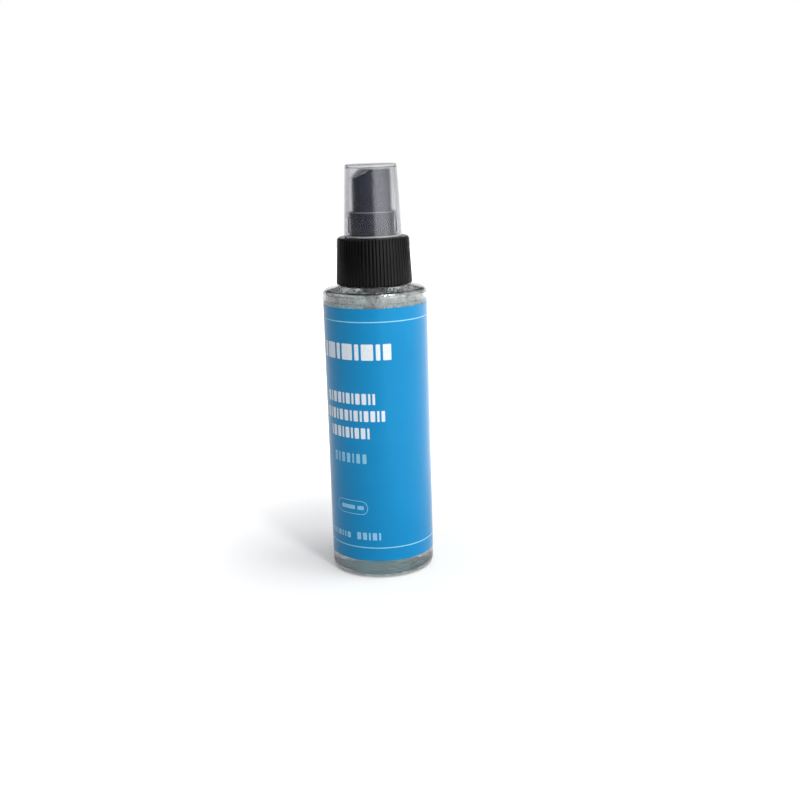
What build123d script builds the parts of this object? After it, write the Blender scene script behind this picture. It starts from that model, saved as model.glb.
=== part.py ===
"""Fine-mist cleaning spray: a clear 100 ml bottle with a ribbed screw closure, a finger pump and an overcap.

Millimetres, +Z up. The origin is the centre of the bottle's base, on the surface it stands on, and the
middle of the label faces -Y. Every piece is turned about the Z axis, so a profile is drawn on Plane.XZ
with X as the radius.
"""

from build123d import *
from math import cos, pi, radians, sin, tan
import os

os.makedirs("parts", exist_ok=True)

# ------------------------------------------------ driving dimensions
# Bottle
bottle_radius = 19.0
bottle_wall = 0.7
foot_inner_radius = 14.6
foot_round = 2.0
push_up = 2.0  # how far the middle of the base is domed in
push_up_flat = 5.0
shoulder_edge_height = 105.25  # where the wall and the shoulder would meet if not rounded
shoulder_round = 1.7
shoulder_slope = 0.25
ledge_radius = 13.0
ledge_height = 107.0
neck_radius = 10.75
neck_bore = 9.4
neck_top = 120.6

# Thread of the 24 mm neck: 8 turns to the inch, one start, right-handed
thread_pitch = 25.4 / 8
thread_depth = 1.05
thread_root_width = 2.2
thread_flank = 0.65  # axial length of each flank
neck_thread_low = 113.2
neck_thread_turns = 1.5
closure_thread_turns = 1.25
closure_thread_crest_width = 0.6

# Label and liquid
label_thickness = 0.1
label_low = 6.74
label_high = 100.35
liquid_gap = 0.05
liquid_level = 101.0

# Closure
closure_low = 107.2
closure_high = 124.0
closure_low_radius = 13.85  # over the ribs
closure_high_radius = 13.0
closure_bore = 12.0
closure_top_plate = 1.25
closure_hole = 7.6
closure_bevel = 0.6
rib_count = 64
rib_depth = 0.38
rib_corner_shares = (-0.24, 0.24, 0.34, 0.66)  # crest, crest, valley, valley, in shares of a rib

# Gasket and pump housing
gasket_thickness = 1.0
gasket_radius = 11.6
flange_radius = 11.7
flange_thickness = 1.05
barrel_radius = 4.5
barrel_bore = 3.6
upstand_radius = 6.2
upstand_height = 124.2
spring_ledge = 104.0
valve_radius = 3.2  # outside of the ball chamber
ball_radius = 1.5
ball_chamber = 1.75
ball_stop_bore = 1.25
seat_bore = 0.9
seat_height = 97.85
socket_radius = 2.7
socket_low = 90.0
vent_height = 119.6
vent_radius = 0.5

# Dip tube
tube_radius = 1.6
tube_bore = 1.1
tube_low = 4.3
tube_top = 96.8

# Collar
collar_radius = 8.45
collar_bore = 7.55
collar_low = 124.1
collar_high = 133.1
collar_floor = 1.1
snap_radius = 7.4
seal_thickness = 0.7
seal_radius = 5.5

# Plunger
stroke = 4.5
stem_radius = 1.8
stem_bore = 1.0
stem_low = 117.9
stem_high = 136.45
stem_shoulder_radius = 2.6
stem_shoulder_low = 122.9
stem_shoulder_high = 124.1
running_gap = 0.05
piston_low = 117.2
piston_high = 122.2
disc_low = 116.2
disc_high = 117.1
disc_radius = 2.7
rod_top = 120.5
rod_guide_low = 114.9
rod_guide_radius = 2.1

# Return spring
spring_wire_radius = 0.3
spring_coil_radius = 2.75
spring_turns = 8

# Actuator and nozzle insert
actuator_low_radius = 7.25
actuator_high_radius = 7.0
actuator_high = 148.0
actuator_wall = 1.1
actuator_front = 145.4  # height of the rim above the nozzle
scoop_start = 2.6  # distance in front of the axis where the finger scoop begins
scoop_sag = 0.15
boss_radius = 3.0
socket_top = 136.5
nozzle_azimuth = -128.0  # degrees from +X
nozzle_height = 139.6
nozzle_recess_radius = 2.0
nozzle_recess_floor = 4.0
nozzle_post_radius = 0.9
channel_radius = 0.6
insert_gap = 0.01
insert_front = 6.75
insert_floor = 0.65
orifice_radius = 0.2

# Overcap
overcap_low = 124.15
overcap_high = 149.7
overcap_low_radius = 10.4
overcap_high_radius = 9.25
overcap_wall = 1.0
overcap_edge = 0.7
grip_rib_count = 3
grip_rib_start = 6.5  # degrees
grip_rib_width = 0.8
grip_rib_low = 126.0
grip_rib_high = 131.5

# ------------------------------------------------ sizes that follow from them
thread_crest_radius = neck_radius + thread_depth
gasket_high = neck_top + gasket_thickness
flange_high = gasket_high + flange_thickness
seal_high = upstand_height + seal_thickness
floor_high = seal_high + collar_floor
actuator_low = floor_high + stroke + 0.3
seat_high = seat_height + (ball_chamber - seat_bore)  # the seat is a 45 degree cone
ball_centre = seat_height + 2 * ball_radius * sin(radians(45)) - seat_bore + 0.04
ball_stop_low = ball_centre + ball_radius + 0.7
ball_stop_high = ball_stop_low + 0.8
cavity_high = nozzle_height + boss_radius - 0.4


def shoulder_line(radius, depth=0.0):
    """Height of the shoulder's slope at this radius, at a depth measured square to it."""
    slope_length = (1 + shoulder_slope**2) ** 0.5
    return shoulder_edge_height + (bottle_radius - radius) * shoulder_slope - depth * slope_length


def cavity_points(gap):
    """Inside of the bottle below the shoulder, this far inside its wall: the base and the straight wall."""
    depth = bottle_wall + gap
    return [
        (0, push_up + depth),
        (push_up_flat, push_up + depth),
        (foot_inner_radius, depth),
        (bottle_radius - depth, depth),
    ]


def helical_bead(root_radius, tip_radius, root_width, tip_width, low, turns, start_angle):
    """A trapezoid swept along a right-handed helix, from the root radius to the tip radius."""
    path = Helix(thread_pitch, turns * thread_pitch, neck_radius)
    with BuildSketch(Plane.XZ) as bead_profile:
        with BuildLine():
            Polyline(
                (root_radius, -root_width / 2),
                (tip_radius, -tip_width / 2),
                (tip_radius, tip_width / 2),
                (root_radius, root_width / 2),
                close=True,
            )
        make_face()
    with BuildPart() as bead:
        sweep(sections=bead_profile.sketch, path=path, is_frenet=True)
    return Pos(0, 0, low) * Rot(0, 0, start_angle) * bead.part


# ------------------------------------------------ bottle
neck_thread = helical_bead(
    root_radius=neck_radius - 0.3,
    tip_radius=thread_crest_radius,
    root_width=thread_root_width + 2 * 0.3 * thread_flank / thread_depth,
    tip_width=thread_root_width - 2 * thread_flank,
    low=neck_thread_low,
    turns=neck_thread_turns,
    start_angle=0,
)

with BuildPart() as bottle:
    with BuildSketch(Plane.XZ):
        with BuildLine():
            FilletPolyline(
                (0, push_up),
                (push_up_flat, push_up),
                (foot_inner_radius, 0),
                (bottle_radius, 0),
                (bottle_radius, shoulder_edge_height),
                (ledge_radius, shoulder_line(ledge_radius)),
                (ledge_radius, ledge_height),
                (neck_radius, ledge_height),
                (neck_radius, neck_top),
                radius=[8, 1, foot_round, shoulder_round, 0, 0, 0.2],
            )
            Polyline((neck_radius, neck_top), (0, neck_top), (0, push_up))
        make_face()
    revolve(axis=Axis.Z)
    with BuildSketch(Plane.XZ):
        with BuildLine():
            shoulder_inside = shoulder_line(bottle_radius - bottle_wall, bottle_wall)
            FilletPolyline(
                *cavity_points(0),
                (bottle_radius - bottle_wall, shoulder_inside),
                (neck_bore, shoulder_line(neck_bore, bottle_wall)),
                (neck_bore, neck_top),
                radius=[8, 1, foot_round - bottle_wall, shoulder_round - bottle_wall, 1.5],
            )
            Polyline((neck_bore, neck_top), (0, neck_top), (0, push_up + bottle_wall))
        make_face()
    revolve(axis=Axis.Z, mode=Mode.SUBTRACT)
    add(neck_thread)

bottle.part.label = "bottle"
export_step(bottle.part, "parts/bottle.step")

# ------------------------------------------------ label: a printed film round the straight wall
with BuildPart() as label:
    with BuildSketch(Plane.XY.offset(label_low)):
        Circle(bottle_radius + label_thickness)
        Circle(bottle_radius, mode=Mode.SUBTRACT)
    extrude(amount=label_high - label_low)

label.part.label = "label"
export_step(label.part, "parts/label.step")

# ------------------------------------------------ cleaning fluid, with room for the pump
with BuildPart() as cleaning_fluid:
    with BuildSketch(Plane.XZ):
        with BuildLine():
            FilletPolyline(
                *cavity_points(liquid_gap),
                (bottle_radius - bottle_wall - liquid_gap, liquid_level),
                radius=[8, 1, foot_round - bottle_wall - liquid_gap],
            )
            Polyline(
                (bottle_radius - bottle_wall - liquid_gap, liquid_level),
                (0, liquid_level),
                (0, push_up + bottle_wall + liquid_gap),
            )
        make_face()
    revolve(axis=Axis.Z)
    with BuildSketch():
        Circle(tube_radius + 0.4)
    extrude(amount=liquid_level, mode=Mode.SUBTRACT)
    with BuildSketch(Plane.XY.offset(socket_low - 0.4)):
        Circle(valve_radius + 0.5)
    extrude(amount=liquid_level - socket_low + 0.4, mode=Mode.SUBTRACT)

cleaning_fluid.part.label = "cleaning_fluid"
export_step(cleaning_fluid.part, "parts/cleaning_fluid.step")


# ------------------------------------------------ closure
def ribbed_outline(crest_radius):
    """The closure's section: a flat crest and a flat valley for each rib."""
    root_radius = crest_radius - rib_depth
    corners = []
    for rib in range(rib_count):
        for share, radius in zip(rib_corner_shares, (crest_radius, crest_radius, root_radius, root_radius)):
            angle = 2 * pi * (rib + share) / rib_count
            corners.append((radius * cos(angle), radius * sin(angle)))
    return corners


closure_thread = helical_bead(
    root_radius=closure_bore + 0.3,
    tip_radius=closure_bore - thread_depth,
    root_width=closure_thread_crest_width + 2 * thread_flank * (1 + 0.3 / thread_depth),
    tip_width=closure_thread_crest_width,
    low=neck_thread_low + (neck_thread_turns - closure_thread_turns - 0.5) * thread_pitch,
    turns=closure_thread_turns,
    start_angle=360 * (neck_thread_turns - closure_thread_turns),
)

# the bevel is a 45 degree cone, which the outline below meets 1 mm outside the widest crest
bevel_low = closure_high - closure_bevel - 1 - (closure_low_radius - closure_high_radius)

with BuildPart() as closure:
    with BuildSketch(Plane.XY.offset(closure_low)):
        with BuildLine():
            Polyline(*ribbed_outline(closure_low_radius), close=True)
        make_face()
    with BuildSketch(Plane.XY.offset(closure_high)):
        with BuildLine():
            Polyline(*ribbed_outline(closure_high_radius), close=True)
        make_face()
    loft(ruled=True)
    with BuildSketch(Plane.XZ):
        with BuildLine():
            Polyline(
                (0, closure_low),
                (closure_low_radius - 0.3, closure_low),
                (closure_low_radius + 1, closure_low + 1.3),
                (closure_low_radius + 1, bevel_low),
                (closure_high_radius - closure_bevel, closure_high),
                (0, closure_high),
                close=True,
            )
        make_face()
    revolve(axis=Axis.Z, mode=Mode.INTERSECT)
    with BuildSketch(Plane.XY.offset(closure_low)):
        Circle(closure_bore)
    extrude(amount=closure_high - closure_top_plate - closure_low, mode=Mode.SUBTRACT)
    with BuildSketch(Plane.XY.offset(closure_low)):
        Circle(closure_hole)
    extrude(amount=closure_high - closure_low, mode=Mode.SUBTRACT)
    add(closure_thread)

closure.part.label = "closure"
export_step(closure.part, "parts/closure.step")

# ------------------------------------------------ gasket between the neck and the housing's flange
with BuildPart() as gasket:
    with BuildSketch(Plane.XY.offset(neck_top)):
        Circle(gasket_radius)
        Circle(barrel_radius + 0.1, mode=Mode.SUBTRACT)
    extrude(amount=gasket_thickness)

gasket.part.label = "gasket"
export_step(gasket.part, "parts/gasket.step")

# ------------------------------------------------ pump housing
with BuildPart() as pump_housing:
    with BuildSketch(Plane.XZ):
        with BuildLine():
            Polyline(
                (tube_radius + 0.02, socket_low),
                (socket_radius, socket_low),
                (socket_radius, seat_height - 1.2),
                (valve_radius, seat_height - 0.7),
                (valve_radius, ball_stop_high),
                (barrel_radius, ball_stop_high + 1.3),
                (barrel_radius, gasket_high),
                (flange_radius, gasket_high),
                (flange_radius, flange_high),
                (upstand_radius, flange_high),
                (upstand_radius, upstand_height),
                (barrel_bore, upstand_height),
                (barrel_bore, spring_ledge),
                (rod_guide_radius, spring_ledge),
                (rod_guide_radius, ball_stop_high),
                (ball_stop_bore, ball_stop_high),
                (ball_stop_bore, ball_stop_low),
                (ball_chamber, ball_stop_low),
                (ball_chamber, seat_high),
                (seat_bore, seat_height),
                (seat_bore, tube_top + 0.1),
                (tube_radius + 0.02, tube_top + 0.1),
                close=True,
            )
        make_face()
    revolve(axis=Axis.Z)
    # vent that lets air into the bottle once the piston has moved past it
    with BuildSketch(Plane.YZ):
        with Locations((0, vent_height)):
            Circle(vent_radius)
    extrude(amount=barrel_radius + 1, mode=Mode.SUBTRACT)

pump_housing.part.label = "pump_housing"
export_step(pump_housing.part, "parts/pump_housing.step")

# ------------------------------------------------ dip tube, cut at a slant
with BuildPart() as dip_tube:
    with BuildSketch(Plane.XY.offset(tube_low)):
        Circle(tube_radius)
        Circle(tube_bore, mode=Mode.SUBTRACT)
    extrude(amount=tube_top - tube_low)
    with BuildSketch(Plane.XZ):
        with BuildLine():
            Polyline(
                (-tube_radius - 1, tube_low - 1),
                (tube_radius + 1, tube_low - 1),
                (tube_radius + 1, tube_low + 2 * (tube_radius + 1) * tan(radians(35))),
                (-tube_radius - 1, tube_low),
                close=True,
            )
        make_face()
    extrude(amount=tube_radius + 1, both=True, mode=Mode.SUBTRACT)

dip_tube.part.label = "dip_tube"
export_step(dip_tube.part, "parts/dip_tube.step")

# ------------------------------------------------ inlet ball
with BuildPart() as inlet_ball:
    with Locations((0, 0, ball_centre)):
        Sphere(ball_radius)

inlet_ball.part.label = "inlet_ball"
export_step(inlet_ball.part, "parts/inlet_ball.step")

# ------------------------------------------------ seal that wipes the stem
with BuildPart() as stem_seal:
    with BuildSketch(Plane.XY.offset(upstand_height)):
        Circle(seal_radius)
        Circle(stem_radius + running_gap, mode=Mode.SUBTRACT)
    extrude(amount=seal_thickness)

stem_seal.part.label = "stem_seal"
export_step(stem_seal.part, "parts/stem_seal.step")

# ------------------------------------------------ collar: clips over the housing through the closure
with BuildPart() as collar:
    with BuildSketch(Plane.XZ):
        with BuildLine():
            Polyline(
                (upstand_radius, flange_high),
                (snap_radius, flange_high),
                (snap_radius, collar_low),
                (collar_radius, collar_low),
                (collar_radius, collar_high),
                (collar_bore, collar_high),
                (collar_bore, floor_high),
                (stem_radius + running_gap, floor_high),
                (stem_radius + running_gap, seal_high),
                (upstand_radius, seal_high),
                close=True,
            )
        make_face()
    revolve(axis=Axis.Z)
    rims = collar.edges().filter_by(GeomType.CIRCLE).group_by(Axis.Z)[-1]
    fillet(rims, radius=0.3)

collar.part.label = "collar"
export_step(collar.part, "parts/collar.step")

# ------------------------------------------------ stem
with BuildPart() as stem:
    with BuildSketch(Plane.XZ):
        with BuildLine():
            Polyline(
                (stem_bore, stem_low),
                (stem_radius, stem_low),
                (stem_radius, stem_shoulder_low),
                (stem_shoulder_radius, stem_shoulder_low),
                (stem_shoulder_radius, stem_shoulder_high),
                (stem_radius, stem_shoulder_high),
                (stem_radius, stem_high - 0.3),
                (stem_radius - 0.3, stem_high),
                (stem_bore, stem_high),
                close=True,
            )
        make_face()
    revolve(axis=Axis.Z)

stem.part.label = "stem"
export_step(stem.part, "parts/stem.step")

# ------------------------------------------------ piston rod: carries the spring, plugs into the stem
with BuildPart() as piston_rod:
    with BuildSketch(Plane.XZ):
        with BuildLine():
            Polyline(
                (0, rod_guide_low),
                (rod_guide_radius - 0.4, rod_guide_low),
                (rod_guide_radius, rod_guide_low + 0.4),
                (rod_guide_radius, disc_low),
                (disc_radius, disc_low),
                (disc_radius, disc_high),
                (stem_bore - 0.01, disc_high),
                (stem_bore - 0.01, rod_top),
                (0, rod_top),
                close=True,
            )
        make_face()
    revolve(axis=Axis.Z)
    # two grooves that let the liquid past the rod and up the stem
    with Locations((stem_bore, 0, disc_high), (-stem_bore, 0, disc_high)):
        Box(
            0.7,
            0.7,
            rod_top - disc_high,
            align=(Align.CENTER, Align.CENTER, Align.MIN),
            mode=Mode.SUBTRACT,
        )

piston_rod.part.label = "piston_rod"
export_step(piston_rod.part, "parts/piston_rod.step")

# ------------------------------------------------ piston: a sleeve with a lip at each end
with BuildPart() as piston:
    with BuildSketch(Plane.XZ):
        with BuildLine():
            Polyline(
                (stem_radius + running_gap, piston_low),
                (2.6, piston_low),
                (barrel_bore - running_gap - 0.3, piston_low + 0.1),
                (barrel_bore - running_gap, piston_low + 0.1),
                (barrel_bore - running_gap, piston_low + 0.7),
                (2.9, piston_low + 1.4),
                (2.9, piston_high - 1.4),
                (barrel_bore - running_gap, piston_high - 0.7),
                (barrel_bore - running_gap, piston_high),
                (3.2, piston_high),
                (2.7, piston_high - 0.9),
                (2.4, piston_high - 0.9),
                (2.4, piston_high),
                (stem_radius + running_gap, piston_high),
                close=True,
            )
        make_face()
    revolve(axis=Axis.Z)

piston.part.label = "piston"
export_step(piston.part, "parts/piston.step")

# ------------------------------------------------ return spring
spring_height = disc_low - spring_ledge - 2 * spring_wire_radius
spring_path = Helix(spring_height / spring_turns, spring_height, spring_coil_radius)
with BuildSketch(Plane(spring_path @ 0, z_dir=spring_path % 0)) as spring_wire:
    Circle(spring_wire_radius)
with BuildPart() as return_spring_at_origin:
    sweep(sections=spring_wire.sketch, path=spring_path, is_frenet=True)
with BuildPart() as return_spring:
    add(Pos(0, 0, spring_ledge + spring_wire_radius) * return_spring_at_origin.part)

return_spring.part.label = "return_spring"
export_step(return_spring.part, "parts/return_spring.step")

# ------------------------------------------------ actuator
nozzle_direction = Vector(cos(radians(nozzle_azimuth)), sin(radians(nozzle_azimuth)), 0)
# x runs from the axis to the front, y is up
side_plane = Plane(origin=(0, 0, 0), x_dir=nozzle_direction, z_dir=nozzle_direction.cross(Vector(0, 0, 1)))
nozzle_plane = Plane(origin=(0, 0, nozzle_height), x_dir=(0, 0, 1), z_dir=nozzle_direction)


def plane_along_nozzle(distance):
    """A plane across the nozzle's axis, this far in front of the stem's axis."""
    return nozzle_plane.offset(distance)


with BuildPart() as actuator:
    with BuildSketch(Plane.XZ):
        with BuildLine():
            Polyline(
                (0, actuator_low),
                (actuator_low_radius, actuator_low),
                (actuator_high_radius, actuator_high),
                (0, actuator_high),
                close=True,
            )
        make_face()
    revolve(axis=Axis.Z)
    # finger scoop, cut across the front half of the top
    with BuildSketch(side_plane):
        with BuildLine():
            scoop_top = (scoop_start, actuator_high)
            scoop_front = (actuator_low_radius + 1, actuator_front - 0.8)
            scoop_middle = (
                (scoop_top[0] + scoop_front[0]) / 2 - scoop_sag * 0.6,
                (scoop_top[1] + scoop_front[1]) / 2 - scoop_sag,
            )
            ThreePointArc(scoop_top, scoop_middle, scoop_front)
            Polyline(
                scoop_front,
                (scoop_front[0], actuator_high + 1),
                (scoop_start, actuator_high + 1),
                scoop_top,
            )
        make_face()
    extrude(amount=actuator_low_radius + 1, both=True, mode=Mode.SUBTRACT)
    rim = [edge for edge in actuator.edges() if edge.center().Z > actuator_front - 1]
    fillet(rim, radius=0.35)
    # the skirt is hollow round the stem's boss
    with BuildSketch(Plane.XZ):
        with BuildLine():
            Polyline(
                (boss_radius, actuator_low),
                (actuator_low_radius - actuator_wall, actuator_low),
                (actuator_high_radius - actuator_wall, cavity_high),
                (boss_radius, cavity_high),
                close=True,
            )
        make_face()
    revolve(axis=Axis.Z, mode=Mode.SUBTRACT)
    # boss round the nozzle's channel, from the stem's boss to the skirt
    with BuildSketch(nozzle_plane):
        Circle(boss_radius)
    extrude(amount=actuator_high_radius - actuator_wall / 2)
    with BuildSketch(Plane.XY.offset(actuator_low)):
        Circle(stem_radius + 0.03)
    extrude(amount=socket_top - actuator_low, mode=Mode.SUBTRACT)
    with BuildSketch(Plane.XY.offset(socket_top)):
        Circle(channel_radius)
    extrude(amount=nozzle_height + nozzle_post_radius - socket_top, mode=Mode.SUBTRACT)
    # recess for the insert, round a post, fed by a channel off the post's side
    with BuildSketch(plane_along_nozzle(nozzle_recess_floor)):
        Circle(nozzle_recess_radius)
        Circle(nozzle_post_radius, mode=Mode.SUBTRACT)
    extrude(amount=5, mode=Mode.SUBTRACT)
    with BuildSketch(plane_along_nozzle(insert_front - insert_floor - 0.1)):
        Circle(nozzle_recess_radius)
    extrude(amount=5, mode=Mode.SUBTRACT)
    with BuildSketch(nozzle_plane):
        with Locations((nozzle_post_radius, 0)):
            Circle(channel_radius)
    extrude(amount=nozzle_recess_floor + 0.4, mode=Mode.SUBTRACT)

actuator.part.label = "actuator"
export_step(actuator.part, "parts/actuator.step")

# ------------------------------------------------ nozzle insert: a cup over the post
insert_radius = nozzle_recess_radius - insert_gap
with BuildPart() as nozzle_insert:
    with BuildSketch(plane_along_nozzle(nozzle_recess_floor + 0.5)):
        Circle(insert_radius)
    extrude(amount=insert_front - nozzle_recess_floor - 0.5)
    with BuildSketch(plane_along_nozzle(nozzle_recess_floor + 0.5)):
        Circle(nozzle_post_radius + 0.15)
    extrude(amount=insert_front - insert_floor - nozzle_recess_floor - 0.5, mode=Mode.SUBTRACT)
    with BuildSketch(plane_along_nozzle(nozzle_recess_floor)):
        Circle(orifice_radius)
    extrude(amount=5, mode=Mode.SUBTRACT)
    # flare in front of the orifice
    with BuildSketch(plane_along_nozzle(insert_front - 0.35)):
        Circle(orifice_radius + 0.1)
    with BuildSketch(plane_along_nozzle(insert_front)):
        Circle(1.1)
    loft(mode=Mode.SUBTRACT)

nozzle_insert.part.label = "nozzle_insert"
export_step(nozzle_insert.part, "parts/nozzle_insert.step")

# ------------------------------------------------ overcap
overcap_draft = (overcap_low_radius - overcap_high_radius) / (overcap_high - overcap_low)
overcap_ceiling = overcap_high - overcap_wall


def overcap_inner_radius(height):
    """Radius of the overcap's inner face, which has the same draft as its outer one."""
    return overcap_low_radius - overcap_wall - (height - overcap_low) * overcap_draft


with BuildPart() as overcap:
    with BuildSketch(Plane.XZ):
        with BuildLine():
            FilletPolyline(
                (0, overcap_high),
                (overcap_high_radius, overcap_high),
                (overcap_low_radius, overcap_low),
                (overcap_inner_radius(overcap_low), overcap_low),
                (overcap_inner_radius(overcap_ceiling), overcap_ceiling),
                (0, overcap_ceiling),
                radius=[overcap_edge, 0.2, 0.2, 0.3],
            )
            Line((0, overcap_ceiling), (0, overcap_high))
        make_face()
    revolve(axis=Axis.Z)
    # ribs that grip the collar
    with BuildSketch(Plane.XY.offset(grip_rib_low)):
        with PolarLocations(0, grip_rib_count, start_angle=grip_rib_start):
            with Locations((overcap_inner_radius(grip_rib_low), 0)):
                Rectangle(1.0, grip_rib_width)
        Circle(collar_radius + running_gap, mode=Mode.SUBTRACT)
    extrude(amount=grip_rib_high - grip_rib_low)

overcap.part.label = "overcap"
export_step(overcap.part, "parts/overcap.step")
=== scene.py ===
import math
import random

import bmesh
import bpy
from mathutils import Matrix, Vector


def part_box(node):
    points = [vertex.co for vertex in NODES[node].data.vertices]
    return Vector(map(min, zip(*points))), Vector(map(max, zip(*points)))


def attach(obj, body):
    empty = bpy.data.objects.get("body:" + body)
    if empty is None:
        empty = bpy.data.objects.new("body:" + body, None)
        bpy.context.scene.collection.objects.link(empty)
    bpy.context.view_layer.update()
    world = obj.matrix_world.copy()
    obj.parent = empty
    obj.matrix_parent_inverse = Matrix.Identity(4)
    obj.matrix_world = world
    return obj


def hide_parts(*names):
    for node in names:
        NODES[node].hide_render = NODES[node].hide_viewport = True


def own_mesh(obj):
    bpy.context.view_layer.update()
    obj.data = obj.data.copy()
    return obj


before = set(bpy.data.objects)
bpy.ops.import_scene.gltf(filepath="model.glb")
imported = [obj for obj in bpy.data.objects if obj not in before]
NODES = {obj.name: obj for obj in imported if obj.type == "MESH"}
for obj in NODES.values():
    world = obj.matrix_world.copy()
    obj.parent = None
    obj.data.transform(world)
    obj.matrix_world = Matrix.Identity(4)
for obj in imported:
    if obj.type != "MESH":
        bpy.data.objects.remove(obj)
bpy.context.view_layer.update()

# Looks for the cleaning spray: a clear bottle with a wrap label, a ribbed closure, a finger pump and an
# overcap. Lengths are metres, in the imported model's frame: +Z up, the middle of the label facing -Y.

MM = 0.001
TURN = 2 * math.pi


def radius_of(node):
    """Largest radius of a turned CAD node, from its box."""
    low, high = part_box(node)
    return max(high.x, high.y, -low.x, -low.y)


def heights_of(node):
    """Lowest and highest point of a CAD node."""
    low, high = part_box(node)
    return low.z, high.z


# ---------------------------------------------- sizes, from the frame where it has them
BOTTLE_RADIUS = radius_of("bottle")
BOTTLE_WALL = 0.7 * MM
BASE_PUSH_UP = 2.0 * MM
BASE_FLAT = 5.0 * MM
FOOT_RADIUS = 14.6 * MM
FOOT_ROUND = 2.0 * MM
LABEL_LOW, LABEL_HIGH = heights_of("label")
LIQUID_LEVEL = heights_of("cleaning_fluid")[1]
CLOSURE_LOW, CLOSURE_HIGH = heights_of("closure")
OVERCAP_LOW, OVERCAP_HIGH = heights_of("overcap")
COLLAR_HIGH = heights_of("collar")[1]
COLLAR_RADIUS = radius_of("collar")
ACTUATOR_HIGH = heights_of("actuator")[1]
ACTUATOR_RIM = 7.0 * MM
SCOOP_START = 2.6 * MM
SCOOP_SLOPE = 0.60
NOZZLE_AZIMUTH = math.radians(-128.0)


# ---------------------------------------------- mesh helpers
def make_object(name, vertices, faces, materials, crease_degrees=35.0, face_material=None):
    """A mesh piece with outward normals, smooth except over sharp edges."""
    mesh = bpy.data.meshes.new(name)
    mesh.from_pydata(vertices, [], faces)
    for material in materials:
        mesh.materials.append(material)
    if face_material:
        for polygon in mesh.polygons:
            polygon.material_index = face_material(polygon)
    work = bmesh.new()
    work.from_mesh(mesh)
    bmesh.ops.remove_doubles(work, verts=work.verts, dist=1e-7)
    bmesh.ops.recalc_face_normals(work, faces=work.faces)
    work.to_mesh(mesh)
    work.free()
    mesh.polygons.foreach_set("use_smooth", [True] * len(mesh.polygons))
    mesh.set_sharp_from_angle(angle=math.radians(crease_degrees))
    piece = bpy.data.objects.new(name, mesh)
    bpy.context.scene.collection.objects.link(piece)
    return piece


def rounded(corners, steps=6):
    """An outline with its corners rounded: each corner is (radius, height, rounding)."""
    outline = []
    count = len(corners)
    for index, (x, y, rounding) in enumerate(corners):
        here = Vector((x, y))
        if rounding == 0:
            outline.append((x, y))
            continue
        before = (Vector(corners[index - 1][:2]) - here).normalized()
        after = (Vector(corners[(index + 1) % count][:2]) - here).normalized()
        half = before.angle(after) / 2
        centre = here + (before + after).normalized() * (rounding / math.sin(half))
        start = here + before * (rounding / math.tan(half)) - centre
        end = here + after * (rounding / math.tan(half)) - centre
        start_angle = math.atan2(start.y, start.x)
        swing = math.remainder(math.atan2(end.y, end.x) - start_angle, TURN)
        for step in range(steps + 1):
            angle = start_angle + swing * step / steps
            x, y = centre.x + rounding * math.cos(angle), centre.y + rounding * math.sin(angle)
            outline.append((x, y))
    return outline


def ring_faces(rings, segments, closed=True, first=0):
    """Quads between rings of equal length; closed joins the last ring back to the first."""
    faces = []
    for ring in range(rings if closed else rings - 1):
        nearer = first + ring * segments
        further = first + (ring + 1) % rings * segments
        for segment in range(segments):
            along = (segment + 1) % segments
            faces.append((nearer + segment, nearer + along, further + along, further + segment))
    return faces


def lathe(name, outline, material, segments=192, crease_degrees=35.0):
    """An outline of (radius, height) turned about the Z axis, closed where it meets the axis."""
    closed = outline[0][0] > 0 or outline[-1][0] > 0
    vertices = []
    for radius, height in outline:
        for segment in range(segments):
            angle = TURN * segment / segments
            vertices.append((radius * math.cos(angle), radius * math.sin(angle), height))
    faces = ring_faces(len(outline), segments, closed)
    return make_object(name, vertices, faces, [material], crease_degrees)


def join(name, pieces):
    """Several mesh pieces as one object."""
    bpy.ops.object.select_all(action="DESELECT")
    for piece in pieces:
        piece.select_set(True)
    bpy.context.view_layer.objects.active = pieces[0]
    if len(pieces) > 1:
        bpy.ops.object.join()
    pieces[0].name = name
    return pieces[0]


def smooth_step(value, low, high):
    """0 below low, 1 above high, and an easy curve between."""
    share = min(max((value - low) / (high - low), 0.0), 1.0)
    return share * share * (3 - 2 * share)


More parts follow.
